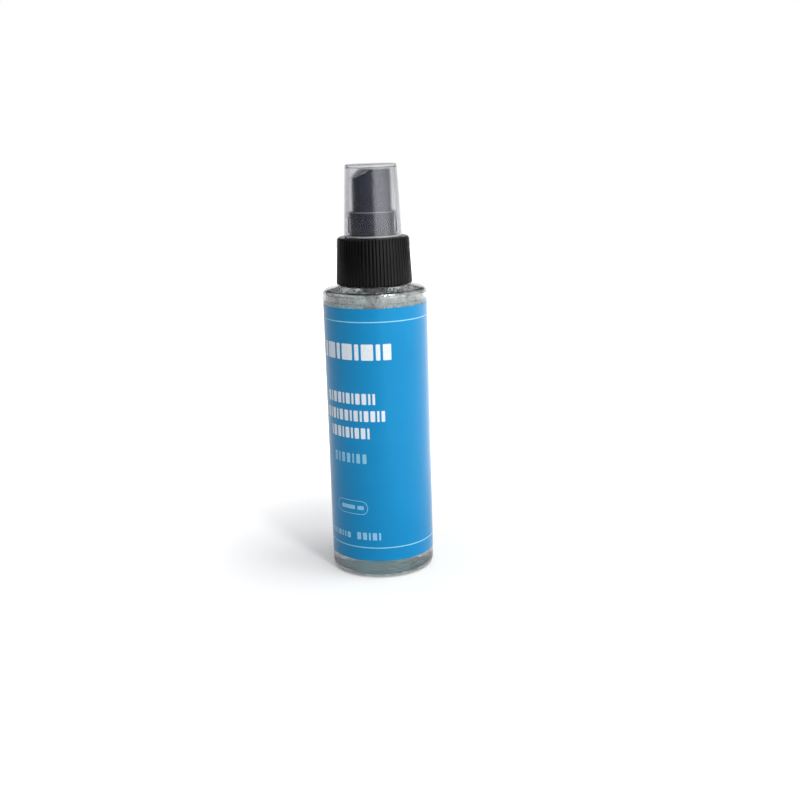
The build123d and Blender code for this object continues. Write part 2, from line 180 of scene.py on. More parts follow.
# ---------------------------------------------- material helpers
class Nodes:
    """A short way to write a material's node tree."""

    def __init__(self, name):
        self.material = bpy.data.materials.new(name)
        self.material.use_nodes = True
        self.tree = self.material.node_tree
        self.shader = self.tree.nodes["Principled BSDF"]
        self.where = self.add("ShaderNodeTexCoord").outputs["Object"]

    def add(self, kind, settings=None, inputs=None):
        node = self.tree.nodes.new(kind)
        for key, value in (settings or {}).items():
            setattr(node, key, value)
        for key, value in (inputs or {}).items():
            self.put(node.inputs[key], value)
        return node

    def put(self, socket, value):
        if isinstance(value, bpy.types.NodeSocket):
            self.tree.links.new(value, socket)
        else:
            socket.default_value = value

    def set(self, **values):
        """Shader sockets by name, with _ for a space."""
        for key, value in values.items():
            self.put(self.shader.inputs[key.replace("_", " ")], value)

    def noise(self, scale, detail=3.0, roughness=0.5, stretch=(1, 1, 1), distortion=0.0):
        place = self.add("ShaderNodeMapping", inputs={"Vector": self.where, "Scale": stretch})
        inputs = {
            "Vector": place.outputs["Vector"],
            "Scale": scale,
            "Detail": detail,
            "Roughness": roughness,
            "Distortion": distortion,
        }
        return self.add("ShaderNodeTexNoise", inputs=inputs).outputs["Fac"]

    def remap(self, value, low, high, to_low, to_high, curve="LINEAR"):
        inputs = {"Value": value, "From Min": low, "From Max": high, "To Min": to_low, "To Max": to_high}
        return self.add("ShaderNodeMapRange", {"interpolation_type": curve}, inputs).outputs["Result"]

    def mix(self, share, first, second):
        node = self.add("ShaderNodeMix", {"data_type": "RGBA"})
        self.put(node.inputs["Factor"], share)
        self.put(node.inputs["A"], first)
        self.put(node.inputs["B"], second)
        return [socket for socket in node.outputs if socket.type == "RGBA"][0]

    def maths(self, operation, first, second=0.0):
        node = self.add("ShaderNodeMath", {"operation": operation})
        self.put(node.inputs[0], first)
        self.put(node.inputs[1], second)
        return node.outputs["Value"]

    def vector_maths(self, operation, first, second=None):
        inputs = {0: first} if second is None else {0: first, 1: second}
        return self.add("ShaderNodeVectorMath", {"operation": operation}, inputs)

    def bump(self, height, strength, distance, onto=None):
        inputs = {"Height": height, "Strength": strength, "Distance": distance}
        if onto is not None:
            inputs["Normal"] = onto
        return self.add("ShaderNodeBump", inputs=inputs).outputs["Normal"]


def moulded_plastic(name, colour, roughness, grain=0.004 * MM, specular=0.5, painted_highlight=None):
    """Injection-moulded plastic: a faint flow mottle in the colour, a fine grain and handling marks.

    The last argument gives, from the node tree, the share of a painted highlight: a paler grey where an
    edge would catch the light."""
    nodes = Nodes(name)
    mottle = nodes.noise(180, detail=4.0, stretch=(1, 1, 0.35))
    darker = tuple(channel * 0.82 for channel in colour[:3]) + (1.0,)
    lighter = tuple(min(channel * 1.18 + 0.001, 1.0) for channel in colour[:3]) + (1.0,)
    rubbed = nodes.noise(900, detail=5.0, roughness=0.65)
    fine = nodes.noise(6500, detail=2.0)
    base = nodes.mix(nodes.remap(mottle, 0.35, 0.65, 0.0, 1.0), darker, lighter)
    if painted_highlight:
        # painted highlight: the colour goes to pale grey where the mask says, broken up by noise
        patchy = nodes.remap(nodes.noise(420, detail=3.0), 0.35, 0.6, 0.25, 1.0)
        base = nodes.mix(nodes.maths("MULTIPLY", painted_highlight(nodes), patchy), base, (0.36, 0.37, 0.41, 1.0))
    nodes.set(
        Base_Color=base,
        Roughness=nodes.remap(rubbed, 0.3, 0.7, roughness - 0.05, roughness + 0.07),
        Normal=nodes.bump(fine, 0.5, grain),
        Specular_IOR_Level=specular,
        IOR=1.49,
    )
    return nodes.material


def radius_socket(nodes):
    """Distance from the Z axis."""
    flat = nodes.vector_maths("MULTIPLY", nodes.where, (1.0, 1.0, 0.0)).outputs["Vector"]
    return nodes.vector_maths("LENGTH", flat).outputs["Value"]


def height_socket(nodes):
    """Height above the surface the object stands on."""
    return nodes.add("ShaderNodeSeparateXYZ", inputs={"Vector": nodes.where}).outputs["Z"]


def collar_painted_highlight(nodes):
    """Mask of a painted highlight along the collar's outer top edge, where the light would catch it."""
    top = nodes.remap(height_socket(nodes), COLLAR_HIGH - 0.32 * MM, COLLAR_HIGH - 0.16 * MM, 0.0, 1.0)
    radius = radius_socket(nodes)
    outside = nodes.remap(radius, COLLAR_RADIUS - 0.35 * MM, COLLAR_RADIUS - 0.2 * MM, 0.0, 1.0)
    return nodes.maths("MULTIPLY", top, outside)


def scoop_rim_painted_highlight(nodes):
    """Mask of a painted highlight along the front rim of the finger scoop, where the light would catch
    it.
    """
    parts = nodes.add("ShaderNodeSeparateXYZ", inputs={"Vector": nodes.where}).outputs
    forward = nodes.maths(
        "ADD",
        nodes.maths("MULTIPLY", parts["X"], math.cos(NOZZLE_AZIMUTH)),
        nodes.maths("MULTIPLY", parts["Y"], math.sin(NOZZLE_AZIMUTH)),
    )
    drop = nodes.maths("MULTIPLY", nodes.maths("SUBTRACT", forward, SCOOP_START), SCOOP_SLOPE)
    above = nodes.maths("ADD", nodes.maths("SUBTRACT", parts["Z"], ACTUATOR_HIGH), drop)
    near_rim = nodes.remap(above, -0.62 * MM, -0.42 * MM, 0.0, 1.0)
    radius = radius_socket(nodes)
    outside = nodes.remap(radius, ACTUATOR_RIM - 0.4 * MM, ACTUATOR_RIM - 0.2 * MM, 0.0, 1.0)
    in_scoop = nodes.remap(forward, SCOOP_START, SCOOP_START + 0.8 * MM, 0.0, 1.0)
    return nodes.maths("MULTIPLY", nodes.maths("MULTIPLY", near_rim, outside), in_scoop)


def foot_ripples(nodes):
    """Ripples where the blown wall turns under at the foot."""
    near_foot = nodes.remap(height_socket(nodes), 3.0 * MM, 8.0 * MM, 1.0, 0.0, "SMOOTHSTEP")
    folds = nodes.noise(230, detail=1.0, stretch=(1, 1, 1.8), distortion=1.0)
    return nodes.maths("MULTIPLY", near_foot, folds)


def clear_plastic(name, tint, roughness, ior, waviness, milkiness=0.0, uneven=0.3, ripples=None):
    """Clear moulded or blown plastic: gently wavy walls and an uneven haze.

    ripples gives a height for a second bump from the node tree."""
    nodes = Nodes(name)
    waves = nodes.noise(45, detail=2.0, stretch=(1, 1, 0.5), distortion=0.6)
    haze = nodes.noise(60, detail=5.0, roughness=0.6)
    hazed = tuple(channel * 0.985 for channel in tint[:3]) + (1.0,)
    surface = nodes.bump(waves, 0.4, waviness)
    if ripples is not None:
        surface = nodes.bump(ripples(nodes), 0.7, 0.30 * MM, onto=surface)
    nodes.set(
        Base_Color=nodes.mix(nodes.remap(haze, 0.3, 0.7, 0.0, 1.0), tint, hazed),
        Roughness=nodes.remap(haze, 0.3, 0.7, roughness * (1 - uneven), roughness * (1 + uneven)),
        Normal=surface,
        Transmission_Weight=1.0 - milkiness,
        IOR=ior,
    )
    return nodes.material


# ---------------------------------------------- materials
def label_film_material():
    """Printed blue film: faint press banding and a satin varnish."""
    nodes = Nodes("label_film_printed")
    banding = nodes.noise(30, detail=3.0, stretch=(1, 1, 3.0))
    screen = nodes.noise(4200, detail=2.0)
    wide, fine = nodes.remap(banding, 0.3, 0.7, 0.0, 0.75), nodes.remap(screen, 0.3, 0.7, 0.0, 0.25)
    blend = nodes.maths("ADD", wide, fine)
    nodes.set(
        Base_Color=nodes.mix(blend, (0.0055, 0.187, 0.422, 1.0), (0.007, 0.207, 0.460, 1.0)),
        Roughness=nodes.remap(nodes.noise(700, detail=4.0), 0.3, 0.7, 0.13, 0.20),
        Normal=nodes.bump(nodes.noise(1500, detail=3.0), 0.25, 0.004 * MM),
        Specular_IOR_Level=0.44,
        Specular_Tint=(0.2, 0.8, 1.0, 1.0),
    )
    return nodes.material


def label_back_material():
    """The pale adhesive side of the film, seen through the bottle."""
    nodes = Nodes("label_film_back")
    blotches = nodes.noise(220, detail=4.0)
    nodes.set(
        Base_Color=nodes.mix(blotches, (0.56, 0.79, 0.90, 1.0), (0.67, 0.88, 0.96, 1.0)),
        Roughness=0.6,
        Subsurface_Weight=1.0,
        Subsurface_Radius=(0.6, 0.9, 1.0),
        Subsurface_Scale=0.25 * MM,
    )
    return nodes.material


def ink_material(name, thin, thick):
    """Screen-print ink, uneven: its colour where it is thin, and where it is thick."""
    nodes = Nodes(name)
    cover = nodes.noise(2600, detail=3.0)
    nodes.set(
        Base_Color=nodes.mix(nodes.remap(cover, 0.35, 0.65, 0.0, 1.0), thin, thick),
        Roughness=0.42,
        Normal=nodes.bump(cover, 0.3, 0.003 * MM),
        Specular_IOR_Level=0.4,
    )
    return nodes.material


def liquid_material():
    """Clear cleaning fluid with a trace of colour."""
    nodes = Nodes("cleaning_fluid_clear")
    drift = nodes.noise(25, detail=2.0, distortion=1.0)
    nodes.set(
        Base_Color=nodes.mix(drift, (0.955, 0.975, 0.97, 1.0), (0.975, 0.985, 0.98, 1.0)),
        Roughness=0.0,
        Transmission_Weight=1.0,
        IOR=1.345,
    )
    return nodes.material


def froth_material():
    """Fine froth: small bright cells with darker joins."""
    nodes = Nodes("cleaning_fluid_froth")
    layers = []
    for scale in (2300.0, 900.0):
        inputs = {"Vector": nodes.where, "Scale": scale}
        from_edge = nodes.add("ShaderNodeTexVoronoi", {"feature": "DISTANCE_TO_EDGE"}, inputs)
        layers.append(nodes.remap(from_edge.outputs["Distance"], 0.0, 0.25, 0.0, 0.5))
    cells = nodes.maths("ADD", *layers)
    nodes.set(
        Base_Color=nodes.mix(cells, (0.52, 0.57, 0.59, 1.0), (0.90, 0.92, 0.92, 1.0)),
        Roughness=0.22,
        Normal=nodes.bump(cells, 0.6, 0.10 * MM),
        Transmission_Weight=0.22,
        Alpha=nodes.remap(nodes.noise(420, detail=5.0, roughness=0.7), 0.42, 0.60, 0.12, 0.66),
        IOR=1.33,
    )
    return nodes.material


def tube_material():
    """Natural polyethylene of the dip tube: wetted, so almost clear, with a faint milky haze."""
    nodes = Nodes("dip_tube_polyethylene")
    haze = nodes.noise(160, detail=4.0, stretch=(1, 1, 0.2))
    nodes.set(
        Base_Color=nodes.mix(haze, (0.74, 0.79, 0.80, 1.0), (0.86, 0.89, 0.89, 1.0)),
        Roughness=0.30,
        Normal=nodes.bump(haze, 0.3, 0.01 * MM),
        Alpha=nodes.remap(haze, 0.35, 0.65, 0.04, 0.09),
        IOR=1.07,
    )
    return nodes.material


def metal(name, colour, roughness, stretch):
    """Drawn or ground steel, with marks along the way it was worked."""
    nodes = Nodes(name)
    marks = nodes.noise(2500, detail=3.0, stretch=stretch)
    nodes.set(
        Base_Color=nodes.mix(marks, colour, tuple(c * 0.85 for c in colour[:3]) + (1.0,)),
        Metallic=1.0,
        Roughness=nodes.remap(marks, 0.3, 0.7, roughness, roughness + 0.12),
        Normal=nodes.bump(marks, 0.3, 0.002 * MM),
    )
    return nodes.material


BLACK = (0.0045, 0.0045, 0.0048, 1.0)
PUMP_BLACK = (0.005, 0.009, 0.030, 1.0)
NATURAL = (0.78, 0.79, 0.77, 1.0)

bottle_clear = clear_plastic(
    "bottle_pet",
    (0.955, 0.972, 0.968, 1.0),
    roughness=0.02,
    ior=1.57,
    waviness=0.05 * MM,
    ripples=foot_ripples,
)
overcap_clear = clear_plastic(
    "overcap_polypropylene",
    (0.875, 0.88, 0.905, 1.0),
    roughness=0.22,
    ior=1.42,
    waviness=0.006 * MM,
    milkiness=0.012,
    uneven=0.1,
)
overcap_rim = clear_plastic(
    "overcap_rim_frosted",
    (0.93, 0.935, 0.95, 1.0),
    roughness=0.38,
    ior=1.42,
    waviness=0.006 * MM,
    milkiness=0.30,
    uneven=0.1,
)
label_film = label_film_material()
label_back = label_back_material()
label_ink = ink_material("label_ink_white", (0.58, 0.64, 0.70, 1.0), (0.72, 0.76, 0.80, 1.0))
# Pale blue ink for the lower rows: pale blue print, and its darker tone low on the label is partly
# painted shade.
label_ink_pale_painted_shade = ink_material("label_ink_pale_blue", (0.16, 0.42, 0.62, 1.0), (0.26, 0.52, 0.70, 1.0))
label_ink_rule = ink_material("label_ink_rule_blue", (0.20, 0.50, 0.64, 1.0), (0.30, 0.60, 0.74, 1.0))
liquid_clear = liquid_material()
liquid_froth = froth_material()
closure_black = moulded_plastic("closure_polypropylene", BLACK, 0.22, specular=0.13)
pump_black = moulded_plastic("pump_polypropylene", PUMP_BLACK, 0.20, grain=0.001 * MM, specular=0.5)
# The collar and the actuator carry a painted highlight in pale grey along their top edges.
collar_black = moulded_plastic(
    "collar_polypropylene", PUMP_BLACK, 0.20, grain=0.001 * MM, specular=0.5, painted_highlight=collar_painted_highlight
)
actuator_black = moulded_plastic(
    "actuator_polypropylene", PUMP_BLACK, 0.20, grain=0.001 * MM, specular=0.5, painted_highlight=scoop_rim_painted_highlight
)
natural_plastic = moulded_plastic("natural_polypropylene", NATURAL, 0.38)
tube_plastic = tube_material()
seal_rubber = moulded_plastic("stem_seal_rubber", (0.03, 0.03, 0.032, 1.0), 0.65)
gasket_foam = moulded_plastic("gasket_foam", (0.82, 0.82, 0.79, 1.0), 0.75, grain=0.03 * MM)
ball_steel = metal("ball_steel", (0.72, 0.72, 0.74, 1.0), 0.08, (1, 1, 1))
spring_steel = metal("spring_steel", (0.60, 0.60, 0.62, 1.0), 0.22, (1, 1, 0.2))

# ---------------------------------------------- CAD nodes that keep their shape
NODE_MATERIALS = {
    "bottle": bottle_clear,
    "collar": collar_black,
    "actuator": actuator_black,
    "nozzle_insert": pump_black,
    "pump_housing": natural_plastic,
    "stem": natural_plastic,
    "piston_rod": natural_plastic,
    "piston": natural_plastic,
    "dip_tube": tube_plastic,
    "stem_seal": seal_rubber,
    "gasket": gasket_foam,
    "inlet_ball": ball_steel,
}
for node_name, node_material in NODE_MATERIALS.items():
    NODES[node_name].material_slots[0].material = node_material

# ---------------------------------------------- label: a film wrapped round, lapped at the back
FILM = 0.045 * MM
FILM_GAP = 0.004 * MM
INK = 0.015 * MM
SEAM_ANGLE = math.radians(90)
LAP_ANGLE = math.radians(5)
RAMP_ANGLE = math.radians(1.5)
FILM_SECTIONS = 300


def film_radius(travelled):
    """Inner radius of the film this far round from where it starts: it climbs over its own start."""
    climb = smooth_step(travelled, TURN - RAMP_ANGLE, TURN)
    return BOTTLE_RADIUS + FILM_GAP + (FILM + FILM_GAP) * climb


def film_strip(name, low, high, lift, thickness, material_list):
    """A strip of the film's own spiral, between two heights, lifted off the film's inner face."""
    total = TURN + LAP_ANGLE
    bevel = min(thickness * 0.4, (high - low) * 0.2)
    vertices = []
    for section in range(FILM_SECTIONS + 1):
        travelled = total * section / FILM_SECTIONS
        angle = SEAM_ANGLE + travelled
        inner = film_radius(travelled) + lift
        outer = inner + thickness
        outline = (
            (inner, low),
            (outer - bevel, low),
            (outer, low + bevel),
            (outer, high - bevel),
            (outer - bevel, high),
            (inner, high),
        )
        for radius, height in outline:
            vertices.append((radius * math.cos(angle), radius * math.sin(angle), height))
    faces = ring_faces(FILM_SECTIONS + 1, 6, closed=False)
    faces += [tuple(range(6)), tuple(range(FILM_SECTIONS * 6, FILM_SECTIONS * 6 + 6))]

    def inner_face(polygon):
        return int({index % 6 for index in polygon.vertices} == {0, 5})

    chooser = inner_face if len(material_list) > 1 else None
    return make_object(name, vertices, faces, material_list, 30.0, chooser)


label = film_strip("label_film", LABEL_LOW, LABEL_HIGH, 0.0, FILM, [label_film, label_back])
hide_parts("label")
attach(label, "bottle")

# ---------------------------------------------- print: plain bars in place of lettering
PRINT_RADIUS = BOTTLE_RADIUS + FILM_GAP + FILM
RULE_WIDTH = 0.36 * MM
RULE_INSET = 4.9 * MM
print_parts = []


def on_label(across, height, lift):
    """A point on the label: across is the distance round it from the middle of the front."""
    angle = across / PRINT_RADIUS
    radius = PRINT_RADIUS + lift
    return (radius * math.sin(angle), -radius * math.cos(angle), height)


def ink_solid(columns, ink):
    """A thin closed patch of ink, given as (across, low, high) columns."""
    vertices = []
    for across, low, high in columns:
        vertices += [
            on_label(across, low, -FILM * 0.3),
            on_label(across, low, INK),
            on_label(across, high, INK),
            on_label(across, high, -FILM * 0.3),
        ]
    faces = ring_faces(len(columns), 4, closed=False)
    last = 4 * (len(columns) - 1)
    faces += [(0, 1, 2, 3), (last, last + 1, last + 2, last + 3)]
    print_parts.append(make_object("ink", vertices, faces, [ink], 30.0))


def ink_bar(across, height, width, tall, rounding, ink=label_ink):
    """A bar with rounded ends, centred at (across, height)."""
    columns = []
    for step in range(7):
        turn = math.radians(6 + 84 * step / 6)
        edge = across - width / 2 + rounding * (1 - math.cos(turn))
        half = tall / 2 - rounding + rounding * math.sin(turn)
        columns.append((edge, height - half, height + half))
    for step in range(1, max(2, round(width / (1.2 * MM)))):
        share = step / max(2, round(width / (1.2 * MM)))
        edge = across - width / 2 + rounding + (width - 2 * rounding) * share
        columns.append((edge, height - tall / 2, height + tall / 2))
    mirrored = [(2 * across - edge, low, high) for edge, low, high in columns[:7]]
    ink_solid(columns + mirrored[::-1], ink)


def dashes(total, height, tall, cycle, gap, centre=0.0, ink=label_ink):
    """A row of bars in place of a line of print, in millimetres, with widths from a cycle."""
    edge = centre - total / 2
    last = centre + total / 2
    index = 0
    while last - edge > cycle[-1] * 0.8:
        width = min(cycle[index % len(cycle)], last - edge)
        rounding = min(width * 0.22, 0.35)
        ink_bar((edge + width / 2) * MM, height * MM, width * MM, tall * MM, rounding * MM, ink)
        edge += width + gap
        index += 1


def ink_outline(width, tall, height, line, ink):
    """The rounded outline round the volume mark."""
    corner = tall / 2
    path = rounded(
        [
            (-width / 2, -tall / 2, corner * 0.98),
            (width / 2, -tall / 2, corner * 0.98),
            (width / 2, tall / 2, corner * 0.98),
            (-width / 2, tall / 2, corner * 0.98),
        ],
        steps=10,
    )
    dense = []
    for index, (x, y) in enumerate(path):
        after = path[(index + 1) % len(path)]
        pieces = max(1, round(math.dist((x, y), after) / (0.8 * MM)))
        for piece in range(pieces):
            share = piece / pieces
            dense.append((x + (after[0] - x) * share, y + (after[1] - y) * share))
    vertices = []
    for index, (x, y) in enumerate(dense):
        before, after = Vector(dense[index - 1]), Vector(dense[(index + 1) % len(dense)])
        along = (after - before).normalized()
        side = Vector((along.y, -along.x)) * line / 2
        for offset, lift in ((side, -FILM * 0.3), (side, INK), (-side, INK), (-side, -FILM * 0.3)):
            vertices.append(on_label(x + offset.x, height + y + offset.y, lift))
    print_parts.append(make_object("ink", vertices, ring_faces(len(dense), 4), [ink], 30.0))


# name row, three bold lines, a plain line, the volume mark and a closing line
dashes(34.6, 84.9, 5.8, (4.4, 1.6), 0.95)
dashes(21.8, 67.9, 4.0, (1.7, 0.8, 1.7, 1.7, 0.8), 0.75)
dashes(28.6, 61.6, 4.0, (1.7, 1.7, 0.8, 1.7, 0.8), 0.75)
dashes(18.4, 55.2, 4.0, (0.8, 1.7, 1.7, 0.8, 1.7), 0.75)
# the lower rows in the darker pale blue ink, partly painted shade low on the label
dashes(15.2, 45.7, 3.6, (1.5, 0.7, 1.5), 0.95, ink=label_ink_pale_painted_shade)
dashes(6.4, 27.0, 1.5, (6.4,), 0.7, centre=-1.5, ink=label_ink_pale_painted_shade)
dashes(2.6, 27.0, 1.5, (2.6,), 0.7, centre=4.0, ink=label_ink_pale_painted_shade)
ink_outline(13.6 * MM, 5.0 * MM, 27.0 * MM, 0.24 * MM, label_ink_pale_painted_shade)
dashes(12.6, 16.0, 2.2, (1.6, 0.7, 0.7), 0.7, centre=-6.2, ink=label_ink_pale_painted_shade)
dashes(9.2, 16.2, 2.8, (1.6, 1.6, 0.7), 0.75, centre=6.8, ink=label_ink_pale_painted_shade)

# fine print either side of the seam at the back
BACK_COLUMN = math.pi * PRINT_RADIUS
random.seed(7)
for side in (-1, 1):
    for line in range(11):
        line_height = (80.0 - 4.6 * line) * MM
        line_width = (12.6 if line % 4 != 3 else 7.5 + 3.0 * random.random()) * MM
        line_edge = side * (BACK_COLUMN - 9.5 * MM) - 6.3 * MM
        ink_bar(line_edge + line_width / 2, line_height, line_width, 1.25 * MM, 0.5 * MM)

for rule_height in (LABEL_LOW + RULE_INSET + 0.2 * MM, LABEL_HIGH - RULE_INSET + 0.18 * MM):
    low, high = rule_height - RULE_WIDTH / 2, rule_height + RULE_WIDTH / 2
    print_parts.append(film_strip("ink", low, high, FILM - FILM_GAP / 2, INK, [label_ink_rule]))

label_print = join("label_print", print_parts)
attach(label_print, "bottle")

# ---------------------------------------------- cleaning fluid
WALL_OVERLAP = 0.03 * MM
MENISCUS_CLIMB = 0.9 * MM
MENISCUS_REACH = 1.3 * MM


def fluid_outline():
    """Half section of the fluid: it reaches just into the bottle's wall, so no film of air shows."""
    floor = BOTTLE_WALL - WALL_OVERLAP
    wall = BOTTLE_RADIUS - floor
    outline = rounded(
        [
            (0.0, BASE_PUSH_UP + floor, 0),
            (BASE_FLAT, BASE_PUSH_UP + floor, 8 * MM),
            (FOOT_RADIUS, floor, 1 * MM),
            (wall, floor, FOOT_ROUND - floor),
            (wall, LIQUID_LEVEL + MENISCUS_CLIMB, 0),
        ],
        steps=8,
    )
    for step in range(1, 9):
        inward = MENISCUS_REACH * 3 * (step / 8) ** 1.6
        climb = MENISCUS_CLIMB * math.exp(-inward / MENISCUS_REACH)
        outline.append((wall - inward, LIQUID_LEVEL + climb))
    outline.append((0.0, LIQUID_LEVEL))
    return outline


fluid = lathe("cleaning_fluid_body", fluid_outline(), liquid_clear)
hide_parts("cleaning_fluid")
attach(fluid, "bottle")


# ---------------------------------------------- foam and drops under the shoulder
FROTH = 240
DROP_CLUSTERS = 24
WALL_DROPS = 70
SHOULDER_EDGE = 105.25 * MM
SHOULDER_SLOPE = 0.25
DROP_NEAREST = 0.4 * MM
DROP_FURTHEST = 7.4 * MM


def shoulder_inside(radius):
    """Height of the shoulder's inner face at this radius."""
    slope_length = math.hypot(1, SHOULDER_SLOPE)
    return SHOULDER_EDGE + (BOTTLE_RADIUS - radius) * SHOULDER_SLOPE - BOTTLE_WALL * slope_length


def unit_ball():
    """Corners and faces of a ball of radius 1."""
    work = bmesh.new()
    bmesh.ops.create_icosphere(work, subdivisions=2, radius=1.0)
    corners = [vertex.co.copy() for vertex in work.verts]
    faces = [[vertex.index for vertex in face.verts] for face in work.faces]
    work.free()
    return corners, faces


def foam():
    """Froth at the fluid's edge, and drops on the wall and under the shoulder above it."""
    random.seed(21)
    inside = BOTTLE_RADIUS - BOTTLE_WALL
    ball_corners, ball_faces = unit_ball()
    vertices = []
    faces = []

    def add_ball(angle, reach, height, radius, squash=1.0):
        outward = Vector((math.cos(angle), math.sin(angle), 0))
        centre = outward * reach + Vector((0, 0, height))
        first = len(vertices)
        for corner in ball_corners:
            flat = corner - outward * corner.dot(outward) * (1 - squash)
            vertices.append(tuple(centre + flat * radius))
        faces.extend([first + index for index in face] for face in ball_faces)

    for _ in range(FROTH):
        radius = random.triangular(0.12, 0.62, 0.2) * MM
        reach = inside - radius * 0.9 - abs(random.gauss(0, 1.0)) * MM
        height = LIQUID_LEVEL + random.uniform(0.1, 1.5) * MM
        add_ball(random.uniform(0, TURN), reach, height, radius)
    for _ in range(DROP_CLUSTERS):
        cluster_angle = random.uniform(0, TURN)
        cluster_reach = inside - random.uniform(1.0, 7.0) * MM
        for _ in range(random.randint(2, 14)):
            angle = cluster_angle + random.gauss(0, 0.13)
            reach = cluster_reach + random.gauss(0, 0.7) * MM
            reach = min(max(reach, inside - DROP_FURTHEST), inside - DROP_NEAREST)
            radius = random.triangular(0.1, 0.5, 0.18) * MM
            add_ball(angle, reach, shoulder_inside(reach), radius, 0.6)
    for _ in range(WALL_DROPS):
        radius = random.triangular(0.12, 0.4, 0.18) * MM
        height = LIQUID_LEVEL + random.uniform(0.8, 2.4) * MM
        add_ball(random.uniform(0, TURN), inside, height, radius, 0.6)
    mesh = bpy.data.meshes.new("foam_and_drops")
    mesh.from_pydata(vertices, [], faces)
    mesh.polygons.foreach_set("use_smooth", [True] * len(mesh.polygons))
    mesh.materials.append(liquid_clear)
    piece = bpy.data.objects.new("foam_and_drops", mesh)
    bpy.context.scene.collection.objects.link(piece)
    return piece


SHOULDER_ROUND = 1.7 * MM
SHOULDER_TURN = math.pi / 2 - math.atan(SHOULDER_SLOPE)
SKIN_LOW = LABEL_HIGH - 1.5 * MM
SKIN_LENGTH = 7.6 * MM
SKIN_RAGGED = 1.5 * MM
SKIN_GAP = 0.06 * MM
SKIN_THICKNESS = 0.3 * MM
SKIN_SEGMENTS = 360
SKIN_ROWS = 24


def under_shoulder(length):
    """Radius, height and turn this far up the bottle's inner wall and in under the shoulder."""
    bend = SHOULDER_ROUND - BOTTLE_WALL - SKIN_GAP
    straight = SHOULDER_EDGE - SHOULDER_ROUND * math.tan(SHOULDER_TURN / 2) - SKIN_LOW
    turned = min(max(length - straight, 0.0) / bend, SHOULDER_TURN)
    beyond = max(length - straight - bend * SHOULDER_TURN, 0.0)
    radius = BOTTLE_RADIUS - SHOULDER_ROUND + bend * math.cos(turned) - beyond * math.sin(turned)
    height = SKIN_LOW + min(length, straight) + bend * math.sin(turned) + beyond * math.cos(turned)
    return radius, height, turned


def froth_skin():
    """Fine froth that clings inside the wall and the shoulder: a thin skin, ragged along its edge."""
    random.seed(5)
    waves = [(random.randint(4, 60), random.uniform(0, TURN)) for _ in range(14)]
    shares = [row / SKIN_ROWS for row in range(SKIN_ROWS + 1)]
    rings = [(share, 0.0) for share in shares] + [(share, 1.0) for share in reversed(shares)]
    vertices = []
    for share, depth in rings:
        for segment in range(SKIN_SEGMENTS):
            angle = TURN * segment / SKIN_SEGMENTS
            ragged = sum(math.sin(count * angle + phase) for count, phase in waves) / len(waves) ** 0.5
            radius, height, turned = under_shoulder((SKIN_LENGTH + ragged * SKIN_RAGGED) * share)
            inward = depth * SKIN_THICKNESS * (0.15 + math.sin(math.pi * share))
            radius -= inward * math.cos(turned)
            height -= inward * math.sin(turned)
            vertices.append((radius * math.cos(angle), radius * math.sin(angle), height))
    faces = ring_faces(len(rings), SKIN_SEGMENTS)
    return make_object("froth_skin", vertices, faces, [liquid_froth], 60.0)


for froth_piece in (foam(), froth_skin()):
    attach(froth_piece, "bottle")

# ---------------------------------------------- closure: 64 rounded ribs on a drafted wall
RIBS = 64
RIB_SAMPLES = 12
RIB_DEPTH = 0.38 * MM
CLOSURE_LOW_RADIUS = radius_of("closure")
CLOSURE_HIGH_RADIUS = 13.0 * MM
CLOSURE_BEVEL = 0.6 * MM
CLOSURE_BORE = 12.0 * MM
CLOSURE_HOLE = 7.6 * MM
CLOSURE_PLATE = 1.25 * MM


def rib_profile(share):
    """Height of a rib, 0 in the valley and 1 on the crest, at a share of its pitch."""
    from_crest = abs(share - 0.5) * 2
    return 1 - smooth_step(from_crest, 0.42, 0.74)


